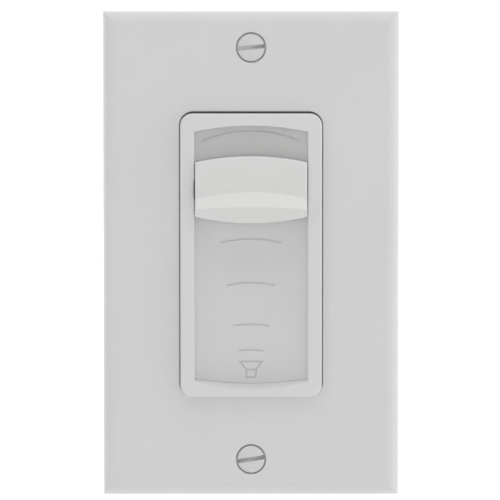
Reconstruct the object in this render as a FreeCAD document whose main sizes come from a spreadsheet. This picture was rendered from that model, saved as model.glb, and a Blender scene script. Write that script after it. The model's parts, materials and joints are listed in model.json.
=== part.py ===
import FreeCAD, Part
import math
import operator
import os
from types import SimpleNamespace

import Sketcher

# An in-wall slide volume control with its wall plate, in millimetres. The wall's face is the plane
# y = 0 and the room is towards -Y. +X is to the right as seen from the room and +Z is up. The origin
# is midway between the two screws that hold the control to the wall box.

DIMENSIONS = {
    # Wall plate. The "front" sizes are distances in front of the wall.
    "plate_width": 69.85,
    "plate_height": 114.3,
    "plate_front": 5.6,
    "plate_wall": 2.0,
    "plate_bevel": 3.2,
    "opening_width": 33.7,
    "opening_height": 67.2,
    "opening_corner": 3.3,
    "opening_edge": 0.25,
    "opening_centre": -0.1,
    "insert_centre": -0.3,
    "boss_radius": 3.0,
    # Plate screws
    "plate_screw_spacing": 96.84,
    "plate_screw_radius": 1.7,
    "plate_screw_hole": 1.95,
    "plate_screw_head": 3.15,
    "plate_screw_rim": 0.7,
    "plate_screw_cone": 1.2,
    "plate_screw_dome": 0.45,
    "plate_screw_end": 6.0,
    "plate_slot_depth": 1.1,
    "counterbore_radius": 3.6,
    "counterbore_depth": 1.0,
    "countersink_radius": 2.85,
    "countersink_depth": 0.75,
    "screw_slot_width": 1.0,
    "small_slot_width": 0.6,
    "screw_slot_depth": 0.8,
    "overrun": 1.0,
    # Yoke, the steel strap that carries the control
    "yoke_thickness": 1.3,
    "yoke_width": 41.0,
    "yoke_middle_height": 77.0,
    "yoke_end_width": 27.0,
    "yoke_height": 105.0,
    "yoke_corner": 2.5,
    "yoke_opening_width": 30.8,
    "yoke_opening_height": 61.8,
    "box_screw_spacing": 83.34,
    "box_slot_radius": 2.1,
    "box_slot_half_length": 2.0,
    # Box screws
    "box_screw_radius": 1.75,
    "box_screw_neck": 1.4,
    "box_screw_head": 3.2,
    "box_screw_head_height": 1.4,
    "box_screw_end": 22.0,
    "washer_radius": 3.6,
    "washer_thickness": 0.5,
    # Bezel frame
    "bezel_front": 7.6,
    "bezel_width": 33.2,
    "bezel_height": 66.6,
    "bezel_corner": 2.9,
    "bezel_edge": 0.5,
    "bezel_lip": 1.2,
    "recess_half_width": 13.3,
    "recess_top": 30.1,
    "recess_top_radius": 62.0,
    "recess_bottom": -31.75,
    "recess_bottom_radius": 46.0,
    "recess_slope": 1.0,
    "recess_edge": 0.3,
    "channel_half_width": 15.35,
    "channel_top": 28.8,
    "channel_bottom": -29.4,
    "peg_radius": 0.8,
    "peg_offset": 12.0,
    "peg_end": 1.2,
    "peg_margin": 1.2,
    "peg_clearance": 0.05,
    # Scale panel
    "panel_half_width": 13.6,
    "panel_centre_front": 1.9,
    "panel_radius": 30.0,
    "panel_thickness": 1.5,
    "panel_clearance": 0.05,
    "panel_peg_radius": 1.0,
    "panel_peg_offset": 6.0,
    "panel_peg_height": 27.0,
    "mark_radius": 29.0,
    "mark_width": 0.5,
    "mark_depth": 0.3,
    "icon_top": -25.6,
    "icon_waist": -27.55,
    "icon_bottom": -29.35,
    "icon_half_mouth": 2.65,
    "icon_half_waist": 1.15,
    "icon_line": 0.35,
    # Slider knob, drawn where it rests
    "knob_half_width": 13.1,
    "knob_top": 23.0,
    "knob_bottom": 7.45,
    "knob_top_radius": 62.0,
    "knob_bottom_radius": 57.0,
    "knob_face": 8.9,
    "knob_foot": 9.9,
    "knob_crest": 11.2,
    "ramp_top": 14.75,
    "ramp_radius": 53.5,
    "ramp_middle": 13.18,
    "ramp_middle_radius": 70.0,
    "crest_top": 11.35,
    "crest_bottom": 10.95,
    "crest_radius": 132.0,
    "knob_edge": 0.5,
    "knob_wall": 1.4,
    "knob_gap": 0.5,
    "tab_front": 6.15,
    "tab_back": 5.5,
    "leg_inner": 14.25,
    "leg_outer": 15.15,
    "leg_low": 10.5,
    "leg_high": 19.5,
    "leg_end": 6.9,
    "glide_reach": 13.2,
    "glide_depth": 0.55,
    "glide_low": 13.1,
    "glide_high": 17.3,
    "glide_front": 8.3,
    "glide_back": 6.5,
    # Slider carriage and what it carries
    "slider_centre": 15.0,
    "carriage_half_width": 14.2,
    "carriage_half_height": 6.5,
    "carriage_front": 3.0,
    "carriage_back": 7.4,
    "rod_offset": 10.0,
    "rod_depth": 5.2,
    "rod_radius": 1.25,
    "rod_half_length": 33.0,
    "bush_radius": 2.1,
    "bush_bore": 1.35,
    "carriage_screw_radius": 0.8,
    "carriage_screw_head": 1.5,
    "carriage_screw_head_height": 0.6,
    "carriage_screw_reach": 12.4,
    "spring_pocket_half_width": 3.2,
    "spring_pocket_depth": 1.4,
    "spring_half_width": 2.5,
    "spring_half_height": 5.6,
    "spring_strip": 0.25,
    "spring_foot": 0.75,
    "spring_tip": 2.15,
    "spring_nose": 0.35,
    "spring_shoulder": 3.4,
    "spring_shoulder_height": 1.6,
    "wiper_strip": 0.25,
    "wiper_inner": 2.8,
    "wiper_outer": 9.2,
    "wiper_finger": 1.5,
    "wiper_base_low": 2.6,
    "wiper_base_high": 6.0,
    "wiper_tip": 8.85,
    "wiper_tail": 8.45,
    "rivet_inner": 3.7,
    "rivet_outer": 6.3,
    "rivet_height": 4.4,
    "rivet_radius": 0.6,
    "rivet_head": 1.0,
    "rivet_head_height": 0.35,
    "rivet_depth": 1.8,
    # Detent rack
    "detent_pitch": 3.4,
    "detent_top": 21.8,
    "rack_half_width": 3.0,
    "rack_back": 2.7,
    "rack_notch": 0.7,
    "rack_margin": 2.4,
    # Switch housing
    "housing_half_width": 18.0,
    "housing_half_height": 38.2,
    "housing_back": 9.0,
    "housing_front_wall": 1.2,
    "cavity_half_width": 16.4,
    "cavity_half_height": 29.8,
    "leg_slot_inner": 13.95,
    "leg_slot_outer": 15.45,
    "leg_slot_low": -27.4,
    "leg_slot_high": 26.8,
    "frame_screw_offset": 10.5,
    "corner_height": 36.0,
    "frame_screw_radius": 1.25,
    "frame_screw_hole": 1.35,
    "frame_screw_head": 2.0,
    "frame_screw_head_height": 1.2,
    "frame_screw_end": 13.2,
    # Contact board
    "board_thickness": 1.6,
    "copper": 0.1,
    "tap_inner": 6.4,
    "tap_outer": 9.6,
    "tap_height": 2.7,
    "rail_inner": 2.6,
    "rail_outer": 4.6,
    # Standoffs and rear board
    "standoff_offset": 15.9,
    "standoff_radius": 2.0,
    "stud_radius": 1.2,
    "stud_end": 4.0,
    "rear_board_front": 41.5,
    "board_screw_head": 2.1,
    "board_screw_head_height": 1.4,
    "board_screw_depth": 6.0,
    "board_screw_reach": 5.0,
    # Transformers
    "core_half_width": 17.5,
    "core_inner": 3.6,
    "core_outer": 32.8,
    "core_front": 19.0,
    "core_stack": 14.0,
    "core_leg": 5.85,
    "coil_gap": 0.1,
    "bobbin_wall": 0.8,
    "bobbin_half_width": 11.5,
    "bobbin_half_depth": 12.3,
    "winding_half_width": 11.0,
    "winding_half_depth": 11.7,
    "winding_corner": 4.0,
    "bobbin_pin_radius": 0.4,
    "bobbin_pin_pitch": 4.0,
    "pin_tail": 0.8,
    "clip_half_width": 13.5,
    "clip_sheet": 1.0,
    "clip_lip": 4.3,
    # Pins that join the two boards
    "carrier_half_width": 13.6,
    "carrier_half_height": 3.5,
    "carrier_front": 12.0,
    "carrier_back": 40.0,
    "carrier_lip": 1.4,
    "carrier_lip_half_width": 9.0,
    "carrier_lip_height": 7.4,
    "link_pitch": 2.0,
    "link_row": 1.27,
    "link_radius": 0.4,
    # Pluggable wiring terminals
    "terminal_height": 21.2,
    "pole_pitch": 5.08,
    "header_half_width": 11.0,
    "header_half_height": 4.4,
    "header_depth": 8.5,
    "header_wall": 0.75,
    "header_floor": 2.0,
    "header_pin": 1.0,
    "header_pin_hole": 0.75,
    "header_pin_front": 40.0,
    "header_pin_back": 50.6,
    "plug_gap": 0.2,
    "plug_seat": 0.3,
    "plug_shoulder": 52.0,
    "plug_back": 61.0,
    "plug_half_width": 10.8,
    "plug_half_height": 5.4,
    "plug_socket": 1.4,
    "cage_front": 53.5,
    "cage_width": 3.6,
    "cage_height": 4.4,
    "cage_wall": 0.6,
    "cage_gap": 0.1,
    "cage_setback": 0.5,
    "clamp_depth": 57.3,
    "clamp_radius": 1.45,
    "clamp_gap": 0.1,
    "clamp_sunk": 0.3,
    # Jumper headers and shunts
    "jumper_offset": 8.0,
    "jumper_height": 5.6,
    "jumper_pitch": 2.54,
    "jumper_base": 2.5,
    "jumper_pin": 0.64,
    "jumper_pin_hole": 0.5,
    "jumper_pin_front": 40.3,
    "jumper_pin_back": 51.6,
    "shunt_width": 2.3,
    "shunt_height": 5.0,
    "shunt_socket": 0.9,
    "shunt_seat": 0.1,
    "shunt_back": 52.6,
    "shunt_end_wall": 0.8,
}

DETENTS = 14
LINK_PINS = 13
POLES = 4
JUMPER_COLUMNS = 4
BOBBIN_PINS = 5
UPPER_SLOT_TILT = -5.0
LOWER_SLOT_TILT = -9.0

# Positions closer than this count as the same when edges are picked.
NEAR = 0.01

# Engraved level marks on the scale panel: the height of each arc's middle and half its width.
MARKS = [
    (29.0, 11.55),
    (20.5, 10.1),
    (12.0, 8.6),
    (3.5, 7.15),
    (-6.9, 5.65),
    (-16.8, 4.15),
    (-22.85, 2.8),
]

OPERATIONS = {"+": operator.add, "-": operator.sub, "*": operator.mul, "/": operator.truediv}


class Size:
    """A length that carries its value and the spreadsheet formula that gives it."""

    def __init__(self, value, text):
        self.value = value
        self.text = text

    def __add__(self, other):
        return combined(self, "+", other)

    def __radd__(self, other):
        return combined(other, "+", self)

    def __sub__(self, other):
        return combined(self, "-", other)

    def __rsub__(self, other):
        return combined(other, "-", self)

    def __mul__(self, other):
        return combined(self, "*", other)

    def __rmul__(self, other):
        return combined(other, "*", self)

    def __truediv__(self, other):
        return combined(self, "/", other)

    def __neg__(self):
        return Size(-self.value, f"(0 - {self.text})")


def as_size(number):
    return number if isinstance(number, Size) else Size(float(number), f"({number})")


ZERO = as_size(0)


def combined(left, sign, right):
    left, right = as_size(left), as_size(right)
    return Size(OPERATIONS[sign](left.value, right.value), f"({left.text} {sign} {right.text})")


def root(size):
    return Size(math.sqrt(size.value), f"sqrt({size.text})")


def ordered(one, other):
    return sorted((as_size(one), as_size(other)), key=lambda size: size.value)


def sagitta(radius, half_chord):
    """How far an arc of this radius bulges from a chord."""
    return radius - root(radius * radius - half_chord * half_chord)


document = FreeCAD.newDocument("SlideVolumeControl")
sheet = document.addObject("Spreadsheet::Sheet", "Dimensions")
for row, (alias, number) in enumerate(DIMENSIONS.items(), start=1):
    sheet.set(f"A{row}", alias)
    sheet.set(f"B{row}", str(number))
    sheet.setAlias(f"B{row}", alias)
document.recompute()
d = SimpleNamespace(**{alias: Size(sheet.get(alias), f"Dimensions.{alias}") for alias in DIMENSIONS})

sub_parts = []


def bind(item, field, size):
    item.setExpression(field, as_size(size).text)


def finished(item, label):
    """Names a sub-part and puts it on the list of files to write."""
    item.Label = label
    sub_parts.append(item)
    return item


# ---------------------------------------------------------------- sketches and features

# Each axis has the origin plane that faces it, and the sign of that plane's normal along the axis.
PLANES = {"x": ("YZ_Plane", 1), "y": ("XZ_Plane", -1), "z": ("XY_Plane", 1)}


def new_body(name):
    return document.addObject("PartDesign::Body", name)


def arc_between(start, end, radius, turn):
    """The shorter arc from start to end, with its centre on the left when turn is 1."""
    chord = end - start
    half = chord.Length / 2
    rise = math.sqrt(max(radius * radius - half * half, 0.0))
    left = FreeCAD.Vector(-chord.y, chord.x, 0).normalize()
    centre = (start + end) / 2 + left * rise * turn
    first, last = (start, end) if turn > 0 else (end, start)
    angles = [math.atan2(point.y - centre.y, point.x - centre.x) for point in (first, last)]
    if angles[1] < angles[0]:
        angles[1] += 2 * math.pi
    circle = Part.Circle(centre, FreeCAD.Vector(0, 0, 1), radius)
    return Part.ArcOfCircle(circle, *angles)


class Constraints:
    """Collects a sketch's constraints, with the formulas that drive them."""

    def __init__(self, sketch):
        self.sketch = sketch
        self.items = []
        self.formulas = []

    def add(self, *fields):
        self.items.append(Sketcher.Constraint(*fields))

    def drive(self, size, *fields):
        size = as_size(size)
        self.formulas.append((len(self.items), size.text))
        self.items.append(Sketcher.Constraint(*fields, size.value))

    def place(self, geometry, point, across, up):
        """Fixes one point of the geometry at its distances from the sketch's axes."""
        for kind, size in (("DistanceX", across), ("DistanceY", up)):
            if isinstance(size, Size):
                self.drive(size, kind, -1, 1, geometry, point)
            else:
                self.add("PointOnObject", geometry, point, -2 if kind == "DistanceX" else -1)

    def apply(self):
        self.sketch.addConstraint(self.items)
        for index, text in self.formulas:
            self.sketch.setExpression(f"Constraints[{index}]", text)


def draw_loop(sketch, constraints, loop):
    """Draws a closed outline. A point is (across, up), or (across, up, radius, turn) at an arc's end."""
    points = [FreeCAD.Vector(as_size(p[0]).value, as_size(p[1]).value, 0) for p in loop]
    ends = []
    for index, point in enumerate(loop):
        start, end = points[index - 1], points[index]
        if len(point) == 2:
            geometry = sketch.addGeometry(Part.LineSegment(start, end))
            ends.append((geometry, 1, 2))
        else:
            radius, turn = point[2:]
            geometry = sketch.addGeometry(arc_between(start, end, radius.value, turn))
            constraints.drive(radius, "Radius", geometry)
            ends.append((geometry, 1, 2) if turn > 0 else (geometry, 2, 1))
    for index, (geometry, start_point, end_point) in enumerate(ends):
        following = ends[(index + 1) % len(ends)]
        constraints.add("Coincident", geometry, end_point, following[0], following[1])
        constraints.place(geometry, end_point, loop[index][0], loop[index][1])


def draw_circle(sketch, constraints, circle):
    across, up, radius = circle
    centre = FreeCAD.Vector(as_size(across).value, as_size(up).value, 0)
    geometry = sketch.addGeometry(Part.Circle(centre, FreeCAD.Vector(0, 0, 1), radius.value))
    constraints.drive(radius, "Radius", geometry)
    constraints.place(geometry, 3, across, up)


def drawn(body, plane, offset, loops):
    """A sketch on one of the body's origin planes, moved along the plane's normal."""
    sketch = body.newObject("Sketcher::SketchObject", "Sketch")
    support = next(item for item in body.Origin.OriginFeatures if item.Role == plane)
    sketch.AttachmentSupport = [(support, "")]
    sketch.MapMode = "FlatFace"
    bind(sketch, "AttachmentOffset.Base.z", offset)
    constraints = Constraints(sketch)
    for loop in loops:
        if isinstance(loop, tuple):
            draw_circle(sketch, constraints, loop)
        else:
            draw_loop(sketch, constraints, loop)
    constraints.apply()
    return sketch


def extrude(body, kind, axis, low, high, loops):
    """Adds or removes the outlines, swept from low to high along an axis."""
    plane, sign = PLANES[axis]
    start, end = (as_size(low), as_size(high)) if sign > 0 else (-as_size(high), -as_size(low))
    sketch = drawn(body, plane, end if kind == "Pocket" else start, loops)
    feature = body.newObject(f"PartDesign::{kind}", kind)
    feature.Profile = sketch
    bind(feature, "Length", end - start)
    return feature


def pad(body, axis, low, high, *loops):
    return extrude(body, "Pad", axis, low, high, loops)


def pocket(body, axis, low, high, *loops):
    return extrude(body, "Pocket", axis, low, high, loops)


def revolve(body, profile):
    """Turns a profile of (radius, y) points about the body's own Y axis."""
    feature = body.newObject("PartDesign::Revolution", "Revolution")
    feature.Profile = drawn(body, "XY_Plane", 0, [profile])
    feature.ReferenceAxis = (feature.Profile[0], ["V_Axis"])
    feature.Angle = 360
    return feature


def soften(body, kind, radius, test):
    """Fillets or chamfers those edges of the body that pass the test."""
    document.recompute()
    base = body.Tip
    names = [f"Edge{i}" for i, edge in enumerate(base.Shape.Edges, start=1) if test(edge)]
    feature = body.newObject(f"PartDesign::{kind}", kind)
    feature.Base = (base, names)
    bind(feature, "Radius" if kind == "Fillet" else "Size", radius)
    return feature


def flat_at(edge, axis, position):
    """Whether the whole edge lies in the plane where the axis has this position."""
    box = edge.BoundBox
    low, high = getattr(box, f"{axis}Min"), getattr(box, f"{axis}Max")
    return abs(low - position.value) < NEAR and abs(high - position.value) < NEAR


# ---------------------------------------------------------------- outlines


def rectangle(left, right, bottom, top):
    left, right = ordered(left, right)
    bottom, top = ordered(bottom, top)
    return [(left, bottom), (right, bottom), (right, top), (left, top)]


def centred(half_width, half_height, across=ZERO, up=ZERO):
    return rectangle(across - half_width, across + half_width, up - half_height, up + half_height)


def rounded(half_width, half_height, corner, up):
    """A rectangle with rounded corners, centred on x = 0."""
    right, top, bottom = half_width, up + half_height, up - half_height
    return [
        (-right, bottom + corner),
        (corner - right, bottom, corner, 1),
        (right - corner, bottom),
        (right, bottom + corner, corner, 1),
        (right, top - corner),
        (right - corner, top, corner, 1),
        (corner - right, top),
        (-right, top - corner, corner, 1),
    ]


def slot(half_length, radius, up):
    """A slot along x, with its round ends drawn as quarter circles."""
    tip = half_length + radius
    return [
        (-half_length, up - radius, radius, 1),
        (half_length, up - radius),
        (tip, up, radius, 1),
        (half_length, up + radius, radius, 1),
        (-half_length, up + radius),
        (-tip, up, radius, 1),
    ]


def lens(half_width, top, bottom, top_radius, bottom_radius):
    """An outline with straight sides, an arched top and a bowed bottom."""
    top_corner = top - sagitta(top_radius, half_width)
    bottom_corner = bottom + sagitta(bottom_radius, half_width)
    return [
        (-half_width, bottom_corner),
        (half_width, bottom_corner, bottom_radius, 1),
        (half_width, top_corner),
        (-half_width, top_corner, top_radius, 1),
    ]


def band(half_width, top, bottom, radius):
    """A narrow arched strip with straight ends."""
    drop = sagitta(radius, half_width)
    return [
        (-half_width, bottom - drop),
        (half_width, bottom - drop, radius, -1),
        (half_width, top - drop),
        (-half_width, top - drop, radius, 1),
    ]


# ---------------------------------------------------------------- simple solids


def box(name, x, y, z):
    """A box between the given pairs of positions along the three axes."""
    item = document.addObject("Part::Box", name)
    for axis, field, pair in (("x", "Length", x), ("y", "Width", y), ("z", "Height", z)):
        low, high = ordered(*pair)
        bind(item, f"Placement.Base.{axis}", low)
        bind(item, field, high - low)
    return item


def span(centre, width):
    """The pair of positions that a width covers about its centre."""
    return centre - width / 2, centre + width / 2


def group(label, pieces):
    """Separate solids that share one file, such as a set of screws."""
    item = document.addObject("Part::Compound", label)
    item.Links = pieces
    return finished(item, label)


def turned(name, profile, x=0, z=0, y=0):
    """A body turned about an axis along Y through the given place."""
    body = new_body(name)
    revolve(body, profile)
    for axis, size in (("x", x), ("y", y), ("z", z)):
        bind(body, f"Placement.Base.{axis}", size)
    return body


def turn_body(body, axis, degrees):
    body.Placement = FreeCAD.Placement(body.Placement.Base, FreeCAD.Rotation(axis, degrees))


def mirrored(side, low, high):
    """The pair of positions on one side: side is 1 for right or upper, -1 for left or lower."""
    return ordered(side * low, side * high)


# ---------------------------------------------------------------- plate, bezel and scale


def make_wall_plate():
    body = new_body("wall_plate")
    half_width, half_height = d.plate_width / 2, d.plate_height / 2
    front, inside = -d.plate_front, d.plate_wall - d.plate_front
    screw_height = d.plate_screw_spacing / 2
    pad(body, "y", front, 0, centred(half_width, half_height))
    soften(body, "Fillet", d.plate_bevel, lambda edge: flat_at(edge, "Y", front))
    pocket(body, "y", inside, 0, centred(half_width - d.plate_wall, half_height - d.plate_wall))
    bosses = [(0, side * screw_height, d.boss_radius) for side in (1, -1)]
    pad(body, "y", inside - d.plate_wall / 2, -d.yoke_thickness, *bosses)
    opening = rounded(d.opening_width / 2, d.opening_height / 2, d.opening_corner, d.opening_centre)
    pocket(body, "y", front, 0, opening)
    inner = d.opening_width.value / 2 + NEAR
    soften(
        body,
        "Fillet",
        d.opening_edge,
        lambda edge: flat_at(edge, "Y", front) and max(-edge.BoundBox.XMin, edge.BoundBox.XMax) < inner,
    )
    holes = [(0, side * screw_height, d.plate_screw_hole) for side in (1, -1)]
    pocket(body, "y", front, 0, *holes)
    sunk = front + d.counterbore_depth
    counterbores = [(0, side * screw_height, d.counterbore_radius) for side in (1, -1)]
    pocket(body, "y", front, sunk, *counterbores)
    for side in (1, -1):
        cone = body.newObject("PartDesign::SubtractiveCone", "Countersink")
        cone.Placement.Rotation = FreeCAD.Rotation(FreeCAD.Vector(1, 0, 0), -90)
        bind(cone, "Placement.Base.y", sunk)
        bind(cone, "Placement.Base.z", side * screw_height)
        bind(cone, "Radius1", d.countersink_radius)
        bind(cone, "Radius2", d.plate_screw_hole)
        bind(cone, "Height", d.countersink_depth)
    finished(body, "wall_plate")


def make_plate_screw(label, side, tilt):
    """An oval-head countersunk screw with a straight slot."""
    face = -d.plate_front
    dome_radius = (
        d.plate_screw_head * d.plate_screw_head + d.plate_screw_dome * d.plate_screw_dome
    ) / (2 * d.plate_screw_dome)
    profile = [
        (0, face - d.plate_screw_dome),
        (d.plate_screw_head, face, dome_radius, 1),
        (d.plate_screw_head, face + d.plate_screw_rim),
        (d.plate_screw_radius, face + d.plate_screw_rim + d.plate_screw_cone),
        (d.plate_screw_radius, d.plate_screw_end - d.plate_screw_radius / 2),
        (d.plate_screw_radius / 2, d.plate_screw_end),
        (0, d.plate_screw_end),
    ]
    body = turned(label, profile, z=side * d.plate_screw_spacing / 2)
    slot_bottom = face - d.plate_screw_dome + d.plate_slot_depth
    groove = centred(d.plate_screw_head + d.overrun, d.screw_slot_width / 2)
    pocket(body, "y", face - d.overrun, slot_bottom, groove)
    turn_body(body, FreeCAD.Vector(0, 1, 0), tilt)
    finished(body, label)


def recess(half_width, gap, rise):
    """The outline of the recess that the slider runs in, less a gap, with its lower end raised."""
    top, bottom = d.recess_top - gap, d.recess_bottom + gap + rise
    return lens(half_width, top, bottom, d.recess_top_radius, d.recess_bottom_radius)


def make_bezel_frame():
    body = new_body("bezel_frame")
    front, back = -d.bezel_front, -d.yoke_thickness
    outline = rounded(d.bezel_width / 2, d.bezel_height / 2, d.bezel_corner, d.insert_centre)
    pad(body, "y", front, back, outline)
    soften(body, "Fillet", d.bezel_edge, lambda edge: flat_at(edge, "Y", front))
    half_width = d.recess_half_width
    pocket(body, "y", front, back, recess(half_width, ZERO, d.recess_slope))
    # The lower end of the recess slopes down towards the room.
    slope = body.newObject("PartDesign::SubtractiveLoft", "Slope")
    slope.Profile = drawn(body, "XZ_Plane", d.bezel_front, [recess(half_width, ZERO, ZERO)])
    slope.Sections = [drawn(body, "XZ_Plane", d.yoke_thickness, [recess(half_width, ZERO, d.recess_slope)])]
    slope.Ruled = True
    middle = half_width.value + NEAR
    soften(
        body,
        "Fillet",
        d.recess_edge,
        lambda edge: flat_at(edge, "Y", front) and max(-edge.BoundBox.XMin, edge.BoundBox.XMax) < middle,
    )
    outer = d.channel_half_width
    channels = [
        rectangle(side * half_width, side * outer, d.channel_bottom, d.channel_top) for side in (1, -1)
    ]
    pocket(body, "y", front + d.bezel_lip, back, *channels)
    pad(body, "y", back - d.peg_radius, d.peg_end, *bezel_pegs(d.peg_radius))
    finished(body, "bezel_frame")


def bezel_pegs(radius):
    """Four pegs behind the bezel, which hold it to the yoke and the housing."""
    return [
        (across * d.peg_offset, d.insert_centre + up * (d.bezel_height / 2 - d.peg_margin), radius)
        for across in (1, -1)
        for up in (1, -1)
    ]


def panel_pegs(radius):
    """Four pegs behind the scale panel, which hold it to the housing."""
    return [
        (across * d.panel_peg_offset, up * d.panel_peg_height, radius)
        for across in (1, -1)
        for up in (1, -1)
    ]


def trough(half_width, front, back):
    """The section of a strip that bows away from the room, between two depths below its middle."""
    centre = -d.panel_centre_front - d.panel_radius
    front_radius, back_radius = d.panel_radius + front, d.panel_radius + back
    front_side = centre + root(front_radius * front_radius - half_width * half_width)
    back_side = centre + root(back_radius * back_radius - half_width * half_width)
    return [
        (half_width, front_side, front_radius, -1),
        (half_width, back_side),
        (-half_width, back_side, back_radius, 1),
        (-half_width, front_side),
    ]


def make_scale_panel():
    half_height = d.bezel_height / 2
    panel = new_body("panel")
    pad(panel, "z", -half_height, half_height, trough(d.panel_half_width, ZERO, d.panel_thickness))
    # The edge of the panel follows the sloping end of the recess.
    border = centred(d.channel_half_width, d.bezel_height)
    front_edge = recess(d.panel_half_width, d.panel_clearance, ZERO)
    back_edge = recess(d.panel_half_width, d.panel_clearance, d.recess_slope)
    slope = panel.newObject("PartDesign::SubtractiveLoft", "Slope")
    slope.Profile = drawn(panel, "XZ_Plane", d.bezel_front, [border, front_edge])
    slope.Sections = [drawn(panel, "XZ_Plane", d.yoke_thickness, [border, back_edge])]
    slope.Ruled = True
    pocket(panel, "y", -d.yoke_thickness, d.panel_thickness, border, back_edge)
    pad(panel, "y", -d.panel_thickness, d.housing_front_wall, *panel_pegs(d.panel_peg_radius))

    skin = new_body("skin")
    pad(skin, "z", -half_height, half_height, trough(d.panel_half_width, -d.overrun, d.mark_depth))
    engraving = new_body("engraving")
    pad(engraving, "y", -d.bezel_front, 0, *[mark(*size) for size in MARKS], *speaker_icon())
    grooves = document.addObject("Part::Common", "grooves")
    grooves.Base = engraving
    grooves.Tool = skin
    engraved = document.addObject("Part::Cut", "scale_panel")
    engraved.Base = panel
    engraved.Tool = grooves
    finished(engraved, "scale_panel")


def mark(height, half_width):
    """The outline of one curved level mark, highest in its middle."""
    height, half_width = as_size(height), as_size(half_width)
    outer = d.mark_radius + d.mark_width / 2
    inner = d.mark_radius - d.mark_width / 2
    outer_end = height - sagitta(d.mark_radius, half_width) + d.mark_width / 2
    inner_end = outer_end - d.mark_width
    return [
        (half_width, inner_end, inner, -1),
        (half_width, outer_end),
        (-half_width, outer_end, outer, 1),
        (-half_width, inner_end),
    ]


def speaker_icon():
    """A speaker drawn with lines: a funnel that opens upwards above a small box."""
    line, half_line = d.icon_line, d.icon_line / 2
    mouth, waist = d.icon_half_mouth, d.icon_half_waist
    outline = [
        (-waist, d.icon_bottom - half_line),
        (waist, d.icon_bottom - half_line),
        (waist + half_line, d.icon_bottom),
        (waist + half_line, d.icon_waist),
        (mouth + line, d.icon_top + half_line),
        (-mouth - line, d.icon_top + half_line),
        (-waist - half_line, d.icon_waist),
        (-waist - half_line, d.icon_bottom),
    ]
    funnel = [
        (-waist, d.icon_waist + half_line),
        (waist, d.icon_waist + half_line),
        (mouth - line, d.icon_top - half_line),
        (line - mouth, d.icon_top - half_line),
    ]
    inside = rectangle(
        half_line - waist, waist - half_line, d.icon_bottom + half_line, d.icon_waist - half_line
    )
    return outline, funnel, inside


# ---------------------------------------------------------------- yoke and its screws


def make_yoke():
    body = new_body("yoke")
    middle, end = d.yoke_width / 2, d.yoke_end_width / 2
    shoulder, tip = d.yoke_middle_height / 2, d.yoke_height / 2
    corner = d.yoke_corner
    outline = [
        (corner - end, -tip, corner, 1),
        (end - corner, -tip),
        (end, corner - tip, corner, 1),
        (end, -shoulder),
        (middle - corner, -shoulder),
        (middle, corner - shoulder, corner, 1),
        (middle, shoulder - corner),
        (middle - corner, shoulder, corner, 1),
        (end, shoulder),
        (end, tip - corner),
        (end - corner, tip, corner, 1),
        (corner - end, tip),
        (-end, tip - corner, corner, 1),
        (-end, shoulder),
        (corner - middle, shoulder),
        (-middle, shoulder - corner, corner, 1),
        (-middle, corner - shoulder),
        (corner - middle, -shoulder, corner, 1),
        (-end, -shoulder),
        (-end, corner - tip),
    ]
    pad(body, "y", -d.yoke_thickness, 0, outline)
    corner = d.yoke_corner / 2
    window = rounded(d.yoke_opening_width / 2, d.yoke_opening_height / 2, corner, d.insert_centre)
    pocket(body, "y", -d.yoke_thickness, 0, window)
    slots = [
        slot(d.box_slot_half_length, d.box_slot_radius, side * d.box_screw_spacing / 2) for side in (1, -1)
    ]
    pocket(body, "y", -d.yoke_thickness, 0, *slots)
    threads = [(0, side * d.plate_screw_spacing / 2, d.plate_screw_radius) for side in (1, -1)]
    peg_holes = bezel_pegs(d.peg_radius + d.peg_clearance)
    frame_screw_holes = corner_places(d.frame_screw_offset, d.frame_screw_hole)
    pocket(body, "y", -d.yoke_thickness, 0, *threads, *peg_holes, *frame_screw_holes)
    finished(body, "yoke")


def corner_places(offset, radius):
    """Four circles near the corners of the housing."""
    return [(across * offset, up * d.corner_height, radius) for across in (1, -1) for up in (1, -1)]


def make_box_screw(label, side):
    """A pan-head screw that holds the yoke to the wall box."""
    seat = -d.yoke_thickness - d.washer_thickness
    crown = seat - d.box_screw_head_height
    bevel = d.box_screw_head_height / 4
    body = turned(
        label,
        [
            (0, crown),
            (d.box_screw_head - bevel, crown),
            (d.box_screw_head, crown + bevel),
            (d.box_screw_head, seat),
            (d.box_screw_neck, seat),
            (d.box_screw_neck, ZERO),
            (d.box_screw_radius, ZERO),
            (d.box_screw_radius, d.box_screw_end - d.box_screw_radius),
            (d.box_screw_radius / 2, d.box_screw_end),
            (0, d.box_screw_end),
        ],
        z=side * d.box_screw_spacing / 2,
    )
    groove = centred(d.box_screw_head + d.overrun, d.screw_slot_width / 2)
    pocket(body, "y", crown, crown + d.screw_slot_depth, groove)
    finished(body, label)


def make_washers():
    washers = []
    for side in (1, -1):
        body = new_body("washer")
        ring = (0, side * d.box_screw_spacing / 2, d.washer_radius)
        hole = (0, side * d.box_screw_spacing / 2, d.box_screw_neck)
        pad(body, "y", -d.yoke_thickness - d.washer_thickness, -d.yoke_thickness, ring, hole)
        washers.append(body)
    group("fibre_washers", washers)


# ---------------------------------------------------------------- slider


def is_knob_rim(edge):
    """Whether an edge runs along the top of the knob's face or down the side of its face and ramp."""
    box = edge.BoundBox
    crest_corner = d.crest_bottom - sagitta(d.crest_radius, d.knob_half_width)
    above_crest = box.ZMin > crest_corner.value + NEAR
    on_side = box.XLength < NEAR and abs(abs(box.XMin) - d.knob_half_width.value) < NEAR
    on_face = box.YMax < NEAR - d.knob_face.value
    at_top = flat_at(edge, "Y", -d.knob_face) and box.ZMin > d.ramp_top.value
    on_crest = box.YMax < NEAR - d.knob_crest.value
    return above_crest and on_face and not on_crest and (on_side or at_top)


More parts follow.
